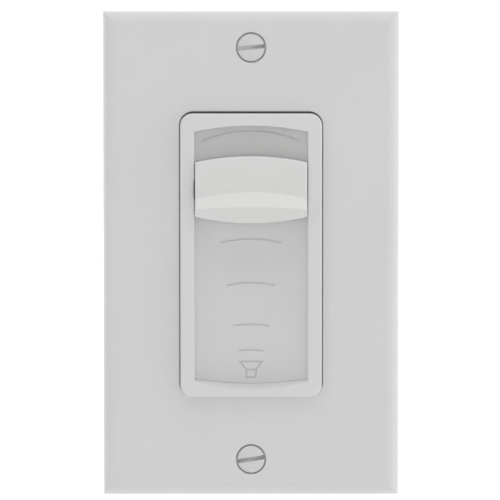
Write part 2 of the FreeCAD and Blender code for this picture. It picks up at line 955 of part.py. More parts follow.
def make_slider_knob():
    body = new_body("slider_knob")
    face, foot, crest = -d.knob_face, -d.knob_foot, -d.knob_crest
    half_width = d.knob_half_width
    outline = lens(half_width, d.knob_top, d.knob_bottom, d.knob_top_radius, d.knob_bottom_radius)
    pad(body, "y", face, -d.panel_centre_front, outline)
    ridge = body.newObject("PartDesign::AdditiveLoft", "Ridge")
    sections = [
        (face, lens(half_width, d.ramp_top, d.knob_bottom, d.ramp_radius, d.knob_bottom_radius)),
        (foot, lens(half_width, d.ramp_middle, d.knob_bottom, d.ramp_middle_radius, d.knob_bottom_radius)),
        (crest, band(half_width, d.crest_top, d.crest_bottom, d.crest_radius)),
    ]
    sketches = [drawn(body, "XZ_Plane", -depth, [shape]) for depth, shape in sections]
    ridge.Profile = sketches[0]
    ridge.Sections = sketches[1:]
    ridge.Ruled = True
    soften(body, "Fillet", d.knob_edge, is_knob_rim)

    # Behind, the knob follows the scale panel and is hollow.
    arc = d.panel_radius - d.knob_gap
    reach = half_width + d.overrun
    centre = -d.panel_centre_front - d.panel_radius
    side = centre + root(arc * arc - reach * reach)
    behind = d.peg_end
    pocket(
        body,
        "z",
        d.knob_bottom - d.overrun,
        d.knob_top + d.overrun,
        [(reach, behind), (-reach, behind), (-reach, side), (reach, side, arc, -1)],
    )
    wall = d.knob_wall
    hollow = lens(
        half_width - wall,
        d.knob_top - wall,
        d.knob_bottom + wall,
        d.knob_top_radius,
        d.knob_bottom_radius,
    )
    pocket(body, "y", face + wall, 0, hollow)
    sides = (1, -1)
    tabs = [rectangle(s * (half_width - wall), s * d.leg_outer, d.leg_low, d.leg_high) for s in sides]
    pad(body, "y", -d.tab_front, -d.tab_back, *tabs)
    legs = [rectangle(s * d.leg_inner, s * d.leg_outer, d.leg_low, d.leg_high) for s in sides]
    pad(body, "y", -d.tab_front, d.leg_end, *legs)
    seat = rectangle(-reach, d.glide_depth - half_width, d.glide_low, d.glide_high)
    pocket(body, "y", -d.glide_front, -d.glide_back, seat)
    pocket(body, "x", -d.leg_outer, d.leg_outer, carriage_screw_hole())
    finished(body, "slider_knob")


def make_glide_pad():
    pad_x = (-d.glide_reach, d.glide_depth - d.knob_half_width)
    item = box("side_glide_pad", pad_x, (-d.glide_front, -d.glide_back), (d.glide_low, d.glide_high))
    finished(item, "side_glide_pad")


def make_carriage():
    body = new_body("slider_carriage")
    low = d.slider_centre - d.carriage_half_height
    high = d.slider_centre + d.carriage_half_height
    half_width = d.carriage_half_width
    front, back = d.carriage_front, d.carriage_back
    pad(body, "y", front, back, rectangle(-half_width, half_width, low, high))
    bores = [(side * d.rod_offset, d.rod_depth, d.bush_radius) for side in (1, -1)]
    pocket(body, "z", low, high, *bores)
    spring_pocket = rectangle(-d.spring_pocket_half_width, d.spring_pocket_half_width, low, high)
    pocket(body, "y", front, front + d.spring_pocket_depth, spring_pocket)
    pocket(body, "x", d.carriage_screw_reach, half_width, carriage_screw_hole())
    pocket(body, "x", -half_width, -d.carriage_screw_reach, carriage_screw_hole())
    pocket(body, "y", back - d.rivet_depth, back, *rivet_places(d.rivet_radius))
    finished(body, "slider_carriage")


def carriage_screw_hole():
    return (d.rod_depth, d.slider_centre, d.carriage_screw_radius)


def rivet_places(radius):
    height = d.slider_centre + d.rivet_height
    offsets = (d.rivet_inner, d.rivet_outer)
    return [(side * offset, height, radius) for side in (1, -1) for offset in offsets]


def make_carriage_bushes():
    bushes = []
    low = d.slider_centre - d.carriage_half_height
    for side in (1, -1):
        body = new_body("bush")
        outer = (side * d.rod_offset, d.rod_depth, d.bush_radius)
        bore = (side * d.rod_offset, d.rod_depth, d.bush_bore)
        pad(body, "z", low, low + 2 * d.carriage_half_height, outer, bore)
        bushes.append(body)
    group("carriage_bushes", bushes)


def make_carriage_screws():
    """Two short screws that fix the knob's legs to the carriage, one from each side."""
    screws = []
    seat, tip = d.leg_outer, d.carriage_screw_reach
    crown = seat + d.carriage_screw_head_height
    for side in (1, -1):
        profile = [
            (0, tip),
            (d.carriage_screw_radius, tip),
            (d.carriage_screw_radius, seat),
            (d.carriage_screw_head, seat),
            (d.carriage_screw_head, crown),
            (0, crown),
        ]
        body = turned("carriage_screw", profile, y=d.rod_depth, z=d.slider_centre)
        turn_body(body, FreeCAD.Vector(0, 0, 1), -90 * side)
        screws.append(body)
    group("carriage_screws", screws)


def make_detent_spring():
    """A bent strip whose nose drops into the notches of the detent rack."""
    body = new_body("detent_spring")
    middle, strip = d.slider_centre, d.spring_strip
    floor = d.carriage_front + d.spring_pocket_depth
    shoulder, end = d.spring_shoulder_height, d.spring_half_height
    foot = end - d.spring_foot
    near_side = [(floor, end), (floor - strip, end), (floor - strip, foot), (d.spring_shoulder, shoulder)]
    far_side = [(floor, foot), (d.spring_shoulder + strip, shoulder)]
    nose, nose_back = (d.spring_tip, middle), (d.spring_tip + d.spring_nose, middle)
    lower = [(depth, middle - height) for depth, height in near_side]
    upper = [(depth, middle + height) for depth, height in reversed(near_side)]
    inner_upper = [(depth, middle + height) for depth, height in far_side]
    inner_lower = [(depth, middle - height) for depth, height in reversed(far_side)]
    outline = [*lower, nose, *upper, *inner_upper, nose_back, *inner_lower]
    pad(body, "x", -d.spring_half_width, d.spring_half_width, outline)
    finished(body, "detent_spring")


def make_wiper(label, side):
    """A leaf with two fingers, one on the taps and one on the common rail."""
    body = new_body(label)
    middle, strip = d.slider_centre, d.wiper_strip
    seat = d.carriage_back
    low, high = middle + d.wiper_base_low, middle + d.wiper_base_high
    pad(body, "y", seat, seat + strip, rectangle(side * d.wiper_inner, side * d.wiper_outer, low, high))
    tail_height = middle - d.wiper_base_low / 2
    finger = [
        (seat, low),
        (d.wiper_tip - strip, middle),
        (d.wiper_tail - strip, tail_height),
        (d.wiper_tail, tail_height),
        (d.wiper_tip, middle),
        (seat + strip, low),
    ]
    for start in (d.wiper_inner, d.wiper_outer - d.wiper_finger):
        pad(body, "x", *mirrored(side, start, start + d.wiper_finger), finger)
    rivet_holes = [place for place in rivet_places(d.rivet_radius) if place[0].value * side > 0]
    pocket(body, "y", seat, seat + strip, *rivet_holes)
    finished(body, label)


def make_wiper_rivets():
    back = d.carriage_back
    head = back + d.wiper_strip
    profile = [
        (0, back - d.rivet_depth),
        (d.rivet_radius, back - d.rivet_depth),
        (d.rivet_radius, head),
        (d.rivet_head, head),
        (d.rivet_head, head + d.rivet_head_height),
        (0, head + d.rivet_head_height),
    ]
    places = rivet_places(d.rivet_radius)
    group("wiper_rivets", [turned("rivet", profile, x=place[0], z=place[1]) for place in places])


# ---------------------------------------------------------------- housing and contacts


def make_switch_housing():
    body = new_body("switch_housing")
    half_width, half_height = d.housing_half_width, d.housing_half_height
    back, wall = d.housing_back, d.housing_front_wall
    pad(body, "y", 0, back, centred(half_width, half_height))
    pocket(body, "y", wall, back, centred(d.cavity_half_width, d.cavity_half_height))
    slots = [
        rectangle(side * d.leg_slot_inner, side * d.leg_slot_outer, d.leg_slot_low, d.leg_slot_high)
        for side in (1, -1)
    ]
    panel_peg_holes = panel_pegs(d.panel_peg_radius + d.peg_clearance)
    bezel_peg_holes = bezel_pegs(d.peg_radius + d.peg_clearance)
    pocket(body, "y", 0, wall, *slots, *panel_peg_holes, *bezel_peg_holes)
    rod_holes = [(side * d.rod_offset, d.rod_depth, d.rod_radius) for side in (1, -1)]
    pocket(body, "z", -d.rod_half_length, d.rod_half_length, *rod_holes)
    pocket(body, "y", 0, back, *corner_places(d.frame_screw_offset, d.frame_screw_hole))
    pocket(body, "y", d.stud_end, back, *corner_places(d.standoff_offset, d.stud_radius))
    finished(body, "switch_housing")


def make_guide_rods():
    for side, name in ((-1, "left"), (1, "right")):
        rod = document.addObject("Part::Cylinder", f"guide_rod_{name}")
        bind(rod, "Radius", d.rod_radius)
        bind(rod, "Height", 2 * d.rod_half_length)
        bind(rod, "Placement.Base.x", side * d.rod_offset)
        bind(rod, "Placement.Base.y", d.rod_depth)
        bind(rod, "Placement.Base.z", -d.rod_half_length)
        finished(rod, f"guide_rod_{name}")


def make_detent_rack():
    """A strip with one notch for each step of the slider."""
    body = new_body("detent_rack")
    crest, notch = d.rack_back, d.rack_back - d.rack_notch
    front, half_pitch = d.housing_front_wall, d.detent_pitch / 2
    top = d.detent_top
    outline = [(front, top + d.rack_margin), (crest, top + d.rack_margin), (crest, top + half_pitch)]
    for step in range(DETENTS):
        centre = top - step * d.detent_pitch
        outline.append((notch, centre))
        outline.append((crest, centre - half_pitch))
    bottom = top - (DETENTS - 1) * d.detent_pitch - d.rack_margin
    outline += [(crest, bottom), (front, bottom)]
    outline.reverse()
    pad(body, "x", -d.rack_half_width, d.rack_half_width, outline)
    finished(body, "detent_rack")


def make_frame_screws():
    seat = -d.yoke_thickness
    crown = seat - d.frame_screw_head_height
    profile = [
        (0, crown),
        (d.frame_screw_head, crown),
        (d.frame_screw_head, seat),
        (d.frame_screw_radius, seat),
        (d.frame_screw_radius, d.frame_screw_end),
        (0, d.frame_screw_end),
    ]
    screws = []
    for across, up, _radius in corner_places(d.frame_screw_offset, d.frame_screw_radius):
        body = turned("frame_screw", profile, x=across, z=up)
        slot_floor = crown + d.frame_screw_head_height / 2
        groove = centred(d.frame_screw_head + d.overrun, d.small_slot_width / 2)
        pocket(body, "y", crown, slot_floor, groove)
        screws.append(body)
    group("frame_screws", screws)


def make_contact_board():
    body = new_body("contact_board")
    front = d.housing_back
    back = front + d.board_thickness
    pad(body, "y", front, back, centred(d.housing_half_width, d.housing_half_height))
    screws = corner_places(d.frame_screw_offset, d.frame_screw_hole)
    studs = corner_places(d.standoff_offset, d.frame_screw_hole)
    pocket(body, "y", front, back, *screws, *studs)
    finished(body, "contact_board")


def make_contact_pads(label, side):
    """The taps of one channel and the common rail beside them."""
    face = (d.housing_back - d.copper, d.housing_back)
    taps = mirrored(side, d.tap_inner, d.tap_outer)
    pads = []
    for step in range(DETENTS):
        centre = d.detent_top - step * d.detent_pitch
        pads.append(box("tap", taps, face, span(centre, d.tap_height)))
    bottom = d.detent_top - (DETENTS - 1) * d.detent_pitch - d.rack_margin
    rail = mirrored(side, d.rail_inner, d.rail_outer)
    pads.append(box("rail", rail, face, (bottom, d.detent_top + d.rack_margin)))
    group(label, pads)


# ---------------------------------------------------------------- transformers


def make_core(label, side):
    """A stack of E and I plates with two windows for the winding."""
    body = new_body(label)
    inner, outer, leg = d.core_inner, d.core_outer, d.core_leg
    low, high = mirrored(side, inner, outer)
    window_low, window_high = mirrored(side, inner + leg, outer - leg)
    windows = [rectangle(s * leg, s * (d.core_half_width - leg), window_low, window_high) for s in (1, -1)]
    outline = rectangle(-d.core_half_width, d.core_half_width, low, high)
    pad(body, "y", d.core_front, d.core_front + d.core_stack, outline, *windows)
    finished(body, label)


def coil_places(side):
    """The middle of the transformer and half the height of its windows."""
    centre = side * (d.core_inner + d.core_outer) / 2
    depth = d.core_front + d.core_stack / 2
    half_height = (d.core_outer - d.core_inner) / 2 - d.core_leg - d.coil_gap
    return centre, depth, half_height


def section(half_width, half_depth, depth):
    return rectangle(-half_width, half_width, depth - half_depth, depth + half_depth)


def make_bobbin(label, side):
    """A square tube on the middle leg, with a flange at each end."""
    body = new_body(label)
    centre, depth, half_height = coil_places(side)
    bore = (d.core_leg + d.coil_gap, d.core_stack / 2 + d.coil_gap)
    tube = (bore[0] + d.bobbin_wall, bore[1] + d.bobbin_wall)
    flange = (d.bobbin_half_width, d.bobbin_half_depth)
    low, high = centre - half_height, centre + half_height
    pad(body, "z", low, high, section(*tube, depth))
    pad(body, "z", low, low + d.bobbin_wall, section(*flange, depth))
    pad(body, "z", high - d.bobbin_wall, high, section(*flange, depth))
    pocket(body, "z", low, high, section(*bore, depth))
    finished(body, label)


def make_winding(label, side):
    body = new_body(label)
    centre, depth, half_height = coil_places(side)
    height = half_height - d.bobbin_wall
    outline = rounded(d.winding_half_width, d.winding_half_depth, d.winding_corner, depth)
    bore_x = d.core_leg + d.coil_gap + d.bobbin_wall
    bore_y = d.core_stack / 2 + d.coil_gap + d.bobbin_wall
    pad(body, "z", centre - height, centre + height, outline, section(bore_x, bore_y, depth))
    finished(body, label)


def bobbin_pin_places(side, radius):
    """Pins along the outer and inner flanges, on the side towards the rear board."""
    centre, _depth, half_height = coil_places(side)
    pin_height = half_height - d.bobbin_wall / 2
    middle = (BOBBIN_PINS - 1) / 2
    return [
        ((index - middle) * d.bobbin_pin_pitch, centre + end * pin_height, radius)
        for end in (1, -1)
        for index in range(BOBBIN_PINS)
    ]


def make_bobbin_pins(label, side):
    start = d.core_front + d.core_stack / 2 + d.bobbin_half_depth
    end = d.rear_board_front + d.board_thickness + d.pin_tail
    pins = []
    for place in bobbin_pin_places(side, d.bobbin_pin_radius):
        body = new_body("bobbin_pin")
        pad(body, "y", start, end, place)
        pins.append(body)
    group(label, pins)


def make_core_clip(label, side):
    """A bent sheet that grips one end of a core and takes the frame screws in its foot."""
    body = new_body(label)
    sheet = d.clip_sheet
    front, back = d.core_front, d.core_front + d.core_stack
    foot = d.housing_back + d.board_thickness
    inside = d.core_outer + d.coil_gap
    lip, outside = d.core_outer - d.clip_lip, inside + sheet
    outline = [
        (foot, inside),
        (front - sheet, inside),
        (front - sheet, lip),
        (front, lip),
        (front, inside),
        (back, inside),
        (back, lip),
        (back + sheet, lip),
        (back + sheet, outside),
        (foot + sheet, outside),
        (foot + sheet, d.housing_half_height),
        (foot, d.housing_half_height),
    ]
    outline = [(depth, side * height) for depth, height in outline]
    pad(body, "x", -d.clip_half_width, d.clip_half_width, outline)
    threads = corner_places(d.frame_screw_offset, d.frame_screw_radius)
    own = [place for place in threads if place[1].value * side > 0]
    pocket(body, "y", foot, foot + sheet, *own)
    finished(body, label)


# ---------------------------------------------------------------- board links


def link_places(radius):
    middle = (LINK_PINS - 1) / 2
    return [
        ((index - middle) * d.link_pitch, row * d.link_row, radius)
        for row in (1, -1)
        for index in range(LINK_PINS)
    ]


def make_link_carrier():
    """A block between the transformers that carries the pins and the cores' inner ends."""
    body = new_body("link_carrier")
    front, back, lip = d.carrier_front, d.carrier_back, d.carrier_lip
    pad(body, "y", front, back, centred(d.carrier_half_width, d.carrier_half_height))
    lips = centred(d.carrier_lip_half_width, d.carrier_lip_height)
    pad(body, "y", d.core_front - lip, d.core_front, lips)
    rear = d.core_front + d.core_stack
    pad(body, "y", rear, rear + lip, lips)
    pocket(body, "y", front, back, *link_places(d.link_radius))
    finished(body, "link_carrier")


def make_link_pins():
    start = d.housing_back + d.board_thickness
    end = d.rear_board_front + d.board_thickness + d.pin_tail
    pins = []
    for place in link_places(d.link_radius):
        body = new_body("link_pin")
        pad(body, "y", start, end, place)
        pins.append(body)
    group("link_pins", pins)


def make_standoffs():
    profile = [
        (0, d.stud_end),
        (d.stud_radius, d.stud_end),
        (d.stud_radius, d.housing_back + d.board_thickness),
        (d.standoff_radius, d.housing_back + d.board_thickness),
        (d.standoff_radius, d.rear_board_front),
        (d.frame_screw_radius, d.rear_board_front),
        (d.frame_screw_radius, d.rear_board_front - d.board_screw_depth),
        (0, d.rear_board_front - d.board_screw_depth),
    ]
    places = corner_places(d.standoff_offset, d.standoff_radius)
    group("standoffs", [turned("standoff", profile, x=place[0], z=place[1]) for place in places])


def make_board_screws():
    seat = d.rear_board_front + d.board_thickness
    crown = seat + d.board_screw_head_height
    tip = d.rear_board_front - d.board_screw_reach
    profile = [
        (0, tip),
        (d.frame_screw_radius, tip),
        (d.frame_screw_radius, seat),
        (d.board_screw_head, seat),
        (d.board_screw_head, crown),
        (0, crown),
    ]
    screws = []
    for across, up, _radius in corner_places(d.standoff_offset, d.standoff_radius):
        body = turned("board_screw", profile, x=across, z=up)
        slot_floor = crown - d.board_screw_head_height / 2
        groove = centred(d.board_screw_head + d.overrun, d.small_slot_width / 2)
        pocket(body, "y", slot_floor, crown, groove)
        screws.append(body)
    group("rear_board_screws", screws)


def make_rear_board():
    body = new_body("rear_board")
    front = d.rear_board_front
    back = front + d.board_thickness
    pad(body, "y", front, back, centred(d.housing_half_width, d.housing_half_height))
    hole = d.bobbin_pin_radius + d.coil_gap
    stud_holes = corner_places(d.standoff_offset, d.frame_screw_hole)
    pocket(body, "y", front, back, *stud_holes, *link_places(hole))
    for side in (1, -1):
        terminal_holes = [(across, side * d.terminal_height, d.header_pin_hole) for across in poles()]
        jumper_holes = [(*place, d.jumper_pin_hole) for place in jumper_pin_places(side)]
        pocket(body, "y", front, back, *bobbin_pin_places(side, hole), *terminal_holes, *jumper_holes)
    finished(body, "rear_board")


# ---------------------------------------------------------------- wiring terminals


def poles():
    middle = (POLES - 1) / 2
    return [(index - middle) * d.pole_pitch for index in range(POLES)]


def make_header(label, side):
    """An open shroud on the rear board with a row of pins."""
    height = side * d.terminal_height
    front = d.rear_board_front + d.board_thickness
    back = front + d.header_depth
    body = new_body(label)
    pad(body, "y", front, back, centred(d.header_half_width, d.header_half_height, ZERO, height))
    inside = (d.header_half_width - d.header_wall, d.header_half_height - d.header_wall)
    pocket(body, "y", front + d.header_floor, back, centred(*inside, ZERO, height))
    half_pin = d.header_pin / 2
    holes = [centred(half_pin, half_pin, across, height) for across in poles()]
    pocket(body, "y", front, front + d.header_floor, *holes)
    finished(body, label)
    depth = (d.header_pin_front, d.header_pin_back)
    pins = [box("header_pin", span(x, d.header_pin), depth, span(height, d.header_pin)) for x in poles()]
    group(f"{label}_pins", pins)


def make_plug(name, side):
    """A plug with four screw clamps, which pulls straight off its header."""
    height = side * d.terminal_height
    floor = d.rear_board_front + d.board_thickness + d.header_floor
    nose_width = d.header_half_width - d.header_wall - d.plug_gap
    nose_height = d.header_half_height - d.header_wall - d.plug_gap
    body = new_body(f"{name}_plug")
    pad(body, "y", floor + d.plug_seat, d.plug_shoulder, centred(nose_width, nose_height, ZERO, height))
    shell = centred(d.plug_half_width, d.plug_half_height, ZERO, height)
    pad(body, "y", d.plug_shoulder, d.plug_back, shell)
    half_socket = d.plug_socket / 2
    sockets = [centred(half_socket, half_socket, across, height) for across in poles()]
    pocket(body, "y", floor + d.plug_seat, d.header_pin_back + d.plug_seat, *sockets)
    cage = (d.cage_width / 2, d.cage_height / 2)
    gap = d.cage_gap
    entries = [centred(cage[0] + gap, cage[1] + gap, across, height) for across in poles()]
    pocket(body, "y", d.cage_front, d.plug_back, *entries)
    clamp_low, clamp_high = mirrored(side, d.terminal_height, d.terminal_height + d.plug_half_height)
    wells = [(across, d.clamp_depth, d.clamp_radius + d.clamp_gap) for across in poles()]
    pocket(body, "z", clamp_low, clamp_high, *wells)
    finished(body, f"{name}_plug")

    cages = []
    for across in poles():
        item = new_body("clamp_cage")
        outer = centred(*cage, across, height)
        inner = centred(cage[0] - d.cage_wall, cage[1] - d.cage_wall, across, height)
        pad(item, "y", d.cage_front + d.cage_setback, d.plug_back - d.cage_setback, outer, inner)
        cages.append(item)
    group(f"{name}_clamp_cages", cages)

    screws = []
    inner_end = d.terminal_height + d.cage_height / 2 + gap / 2
    outer_end = d.terminal_height + d.plug_half_height - d.clamp_sunk
    low, high = mirrored(side, inner_end, outer_end)
    slot_floor = outer_end - d.screw_slot_depth
    for across in poles():
        item = new_body("clamp_screw")
        pad(item, "z", low, high, (across, d.clamp_depth, d.clamp_radius))
        groove = centred(d.clamp_radius + d.overrun, d.small_slot_width / 2, across, d.clamp_depth)
        pocket(item, "z", *mirrored(side, slot_floor, outer_end), groove)
        screws.append(item)
    group(f"{name}_clamp_screws", screws)


# ---------------------------------------------------------------- impedance jumpers


def jumper_pin_places(side):
    """Two rows of pins, four columns wide, on one side of the rear board."""
    middle = (JUMPER_COLUMNS - 1) / 2
    centre = side * d.jumper_offset
    return [
        (centre + (column - middle) * d.jumper_pitch, d.jumper_height + row * d.jumper_pitch / 2)
        for row in (1, -1)
        for column in range(JUMPER_COLUMNS)
    ]


def make_jumper(name, side, column):
    """A pin header for one channel, and the shunt that bridges one of its columns."""
    front = d.rear_board_front + d.board_thickness
    centre = side * d.jumper_offset
    header = new_body(f"jumper_header_{name}")
    half_width, half_height = d.jumper_pitch * JUMPER_COLUMNS / 2, d.jumper_pitch
    block = centred(half_width, half_height, centre, d.jumper_height)
    pad(header, "y", front, front + d.jumper_base, block)
    half_pin = d.jumper_pin / 2
    holes = [centred(half_pin, half_pin, *place) for place in jumper_pin_places(side)]
    pocket(header, "y", front, front + d.jumper_base, *holes)
    finished(header, f"jumper_header_{name}")

    shunt = new_body(f"jumper_shunt_{name}")
    across = centre + (column - (JUMPER_COLUMNS - 1) / 2) * d.jumper_pitch
    seat = front + d.jumper_base + d.shunt_seat
    cap = centred(d.shunt_width / 2, d.shunt_height / 2, across, d.jumper_height)
    pad(shunt, "y", seat, d.shunt_back, cap)
    half_socket = d.shunt_socket / 2
    sockets = [
        centred(half_socket, half_socket, across, d.jumper_height + row * d.jumper_pitch / 2)
        for row in (1, -1)
    ]
    pocket(shunt, "y", seat, d.shunt_back - d.shunt_end_wall, *sockets)
    finished(shunt, f"jumper_shunt_{name}")


def make_jumper_pins():
    depth = (d.jumper_pin_front, d.jumper_pin_back)
    places = jumper_pin_places(-1) + jumper_pin_places(1)
    pins = [box("jumper_pin", span(x, d.jumper_pin), depth, span(z, d.jumper_pin)) for x, z in places]
    group("jumper_pins", pins)


# ---------------------------------------------------------------- the whole control

make_wall_plate()
make_plate_screw("plate_screw_upper", 1, UPPER_SLOT_TILT)
make_plate_screw("plate_screw_lower", -1, LOWER_SLOT_TILT)
make_bezel_frame()
make_scale_panel()
make_yoke()
make_box_screw("box_screw_upper", 1)
make_box_screw("box_screw_lower", -1)
make_washers()
make_slider_knob()
make_glide_pad()
make_carriage()
make_carriage_bushes()
make_carriage_screws()
make_detent_spring()
make_wiper("wiper_left", -1)
make_wiper("wiper_right", 1)
make_wiper_rivets()
make_switch_housing()
make_guide_rods()
make_detent_rack()
make_frame_screws()
make_contact_board()
make_contact_pads("contact_pads_left", -1)
make_contact_pads("contact_pads_right", 1)
for name, side in (("upper", 1), ("lower", -1)):
    make_core(f"core_{name}", side)
    make_bobbin(f"bobbin_{name}", side)
    make_winding(f"winding_{name}", side)
    make_bobbin_pins(f"bobbin_pins_{name}", side)
    make_core_clip(f"core_clip_{name}", side)
make_link_carrier()
make_link_pins()
make_standoffs()
make_rear_board()
make_board_screws()
for name, side in (("input", 1), ("output", -1)):
    make_header(f"{name}_header", side)
    make_plug(name, side)
make_jumper("left", -1, 1)
make_jumper("right", 1, 1)
make_jumper_pins()

document.recompute()


def check(item):
    """Stops the run if an object failed, or if a cut removed nothing."""
    if "Invalid" in item.State or "Error" in item.State:
        raise RuntimeError(f"{item.Label} did not compute: {item.State}")
    if item.TypeId in ("PartDesign::Pocket", "PartDesign::SubtractiveCone", "PartDesign::SubtractiveLoft"):
        if item.Shape.Volume >= item.BaseFeature.Shape.Volume:
            raise RuntimeError(f"{item.Label} in {item.getParentGeoFeatureGroup().Label} cuts nothing")


for item in document.Objects:
    check(item)
for item in sub_parts:
    if item.Shape.isNull() or not item.Shape.isValid():
        raise RuntimeError(f"{item.Label} has no valid shape")

os.makedirs("parts", exist_ok=True)
for item in sub_parts:
    item.Shape.exportStep(f"parts/{item.Label}.step")
print(f"{len(sub_parts)} sub-parts written")
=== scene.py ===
import json
import math

import bmesh
import bpy
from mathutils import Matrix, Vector


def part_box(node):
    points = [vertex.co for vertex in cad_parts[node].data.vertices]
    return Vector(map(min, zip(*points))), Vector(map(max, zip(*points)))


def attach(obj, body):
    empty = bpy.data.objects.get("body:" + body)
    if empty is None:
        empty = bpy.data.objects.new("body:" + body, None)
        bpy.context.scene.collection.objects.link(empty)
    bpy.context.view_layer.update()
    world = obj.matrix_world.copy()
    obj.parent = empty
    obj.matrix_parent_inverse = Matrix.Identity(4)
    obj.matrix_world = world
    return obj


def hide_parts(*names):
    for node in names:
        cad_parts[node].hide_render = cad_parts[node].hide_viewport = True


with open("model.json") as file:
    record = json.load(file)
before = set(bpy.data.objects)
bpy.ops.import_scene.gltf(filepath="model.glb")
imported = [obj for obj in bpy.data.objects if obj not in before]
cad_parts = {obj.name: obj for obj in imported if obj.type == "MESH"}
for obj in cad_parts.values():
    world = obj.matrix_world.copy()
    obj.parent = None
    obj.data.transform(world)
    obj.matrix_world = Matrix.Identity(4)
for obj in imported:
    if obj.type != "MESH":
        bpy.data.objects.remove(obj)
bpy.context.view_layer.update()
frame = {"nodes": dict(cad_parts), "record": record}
MM = 0.001
MICRON = 0.001 * MM


# ---------------------------------------------------------------- materials


class Look:
    """A node material on one Principled shader, with short ways to add grain and colour variation."""

    def __init__(self, name, color, roughness, metallic=0.0, specular=0.5, coat=0.0, coat_roughness=0.1):
        self.material = bpy.data.materials.new(name)
        self.material.use_nodes = True
        self.tree = self.material.node_tree
        self.shader = self.tree.nodes["Principled BSDF"]
        self.color = (*color, 1.0)
        self.set("Base Color", self.color)
        self.set("Roughness", roughness)
        self.set("Metallic", metallic)
        self.set("Specular IOR Level", specular)
        self.set("Coat Weight", coat)
        self.set("Coat Roughness", coat_roughness)
        self.material.diffuse_color = self.color
        self.bump = None

    def set(self, socket, value):
        self.shader.inputs[socket].default_value = value

    def node(self, kind, **values):
        made = self.tree.nodes.new(f"ShaderNode{kind}")
        for name, value in values.items():
            if name in made.inputs:
                made.inputs[name].default_value = value
            else:
                setattr(made, name, value)
        return made

    def link(self, source, target):
        self.tree.links.new(source, target)

    def place(self, scale):
        """The object's own coordinates in metres, stretched by the given scale."""
        coordinates = self.node("TexCoord")
        mapping = self.node("Mapping", Scale=scale)
        self.link(coordinates.outputs["Object"], mapping.inputs["Vector"])
        return mapping.outputs["Vector"]

    def noise(self, size, detail=2.0, stretch=(1.0, 1.0, 1.0)):
        """Noise whose blotches are about this size, in metres."""
        noise = self.node("TexNoise", Scale=1.0 / size, Detail=detail)
        self.link(self.place(stretch), noise.inputs["Vector"])
        return noise.outputs["Fac"]

    def remap(self, value, low, high, start=0.3, end=0.7):
        node = self.node("MapRange")
        node.inputs["From Min"].default_value = start
        node.inputs["From Max"].default_value = end
        node.inputs["To Min"].default_value = low
        node.inputs["To Max"].default_value = high
        self.link(value, node.inputs["Value"])
        return node.outputs["Result"]

    def vary_color(self, other, size, start=0.3, end=0.7, detail=2.0, stretch=(1.0, 1.0, 1.0)):
        """Blends the base colour towards another one in blotches."""
        mix = self.node("MixRGB")
        factor = self.remap(self.noise(size, detail, stretch), 0.0, 1.0, start, end)
        self.link(factor, mix.inputs["Fac"])
        mix.inputs["Color1"].default_value = self.color
        mix.inputs["Color2"].default_value = (*other, 1.0)
        self.link(mix.outputs["Color"], self.shader.inputs["Base Color"])

    def vary_roughness(self, low, high, size, detail=3.0, stretch=(1.0, 1.0, 1.0)):
        self.link(self.remap(self.noise(size, detail, stretch), low, high), self.shader.inputs["Roughness"])

    def grain(self, size, depth, detail=2.0, stretch=(1.0, 1.0, 1.0)):
        """A bumpy surface texture of the given size and depth, in metres."""
        self.add_bump(self.noise(size, detail, stretch), depth)

    def add_bump(self, height, depth):
        bump = self.node("Bump", Strength=1.0, Distance=depth)
        self.link(height, bump.inputs["Height"])
        if self.bump:
            self.link(self.bump.outputs["Normal"], bump.inputs["Normal"])
        self.link(bump.outputs["Normal"], self.shader.inputs["Normal"])
        self.bump = bump


def darker(color, share):
    return tuple(share * channel for channel in color)


def moulded(name, color, roughness, shade):
    """A moulded plastic with a fine eroded texture and faint flow marks."""
    look = Look(name, color, roughness, specular=0.5)
    look.vary_color(shade, 20 * MM, detail=3.0)
    look.vary_roughness(roughness - 0.05, roughness + 0.05, 4 * MM)
    look.grain(0.45 * MM, 3.5 * MICRON)
    look.grain(6 * MM, 6 * MICRON)
    return look.material


def rolled(name, color, roughness):
    """A sheet or drawn metal with fine upright lines."""
    stretch = (1.0, 1.0, 0.1)
    look = Look(name, color, roughness, metallic=1.0)
    look.vary_color(darker(color, 0.9), 1.5 * MM, detail=3.0, stretch=stretch)
    look.vary_roughness(roughness - 0.04, roughness + 0.08, 1 * MM, stretch=stretch)
    look.grain(0.8 * MM, 1.2 * MICRON, stretch=stretch)
    return look.material


def plated(name, color, roughness):
    """Bright plating with faint handling marks."""
    look = Look(name, color, roughness, metallic=1.0)
    look.vary_color(darker(color, 0.94), 4 * MM, detail=1.0)
    look.vary_roughness(roughness - 0.01, roughness + 0.02, 4 * MM, detail=1.0)
    look.grain(2 * MM, 0.3 * MICRON, detail=0.0)
    return look.material


def painted(name, color, roughness):
    """Baked paint on metal, with a slight orange peel."""
    look = Look(name, color, roughness, specular=0.5, coat=0.25, coat_roughness=0.2)
    look.vary_color(darker(color, 0.95), 1.5 * MM, detail=3.0)
    look.grain(0.6 * MM, 6 * MICRON)
    return look.material


def solder_mask(name, color, shade):
    """Glossy solder mask, slightly wavy over the glass fibre under it."""
    look = Look(name, color, 0.3, specular=0.5, coat=0.4, coat_roughness=0.1)
    look.vary_color(shade, 8 * MM, detail=3.0)
    look.vary_roughness(0.29, 0.33, 3 * MM)
    look.grain(1.2 * MM, 1.2 * MICRON, detail=0.0)
    return look.material


def varnished_steel(name):
    """Electrical steel under a thin brownish varnish."""
    look = Look(name, (0.13, 0.132, 0.14), 0.42, metallic=0.75, coat=0.3, coat_roughness=0.25)
    look.vary_color((0.125, 0.105, 0.095), 3.5 * MM, start=0.5, end=0.8, detail=5.0)
    look.vary_roughness(0.34, 0.55, 2 * MM, detail=4.0)
    look.grain(0.6 * MM, 4 * MICRON, stretch=(1.0, 0.15, 1.0))
    return look.material


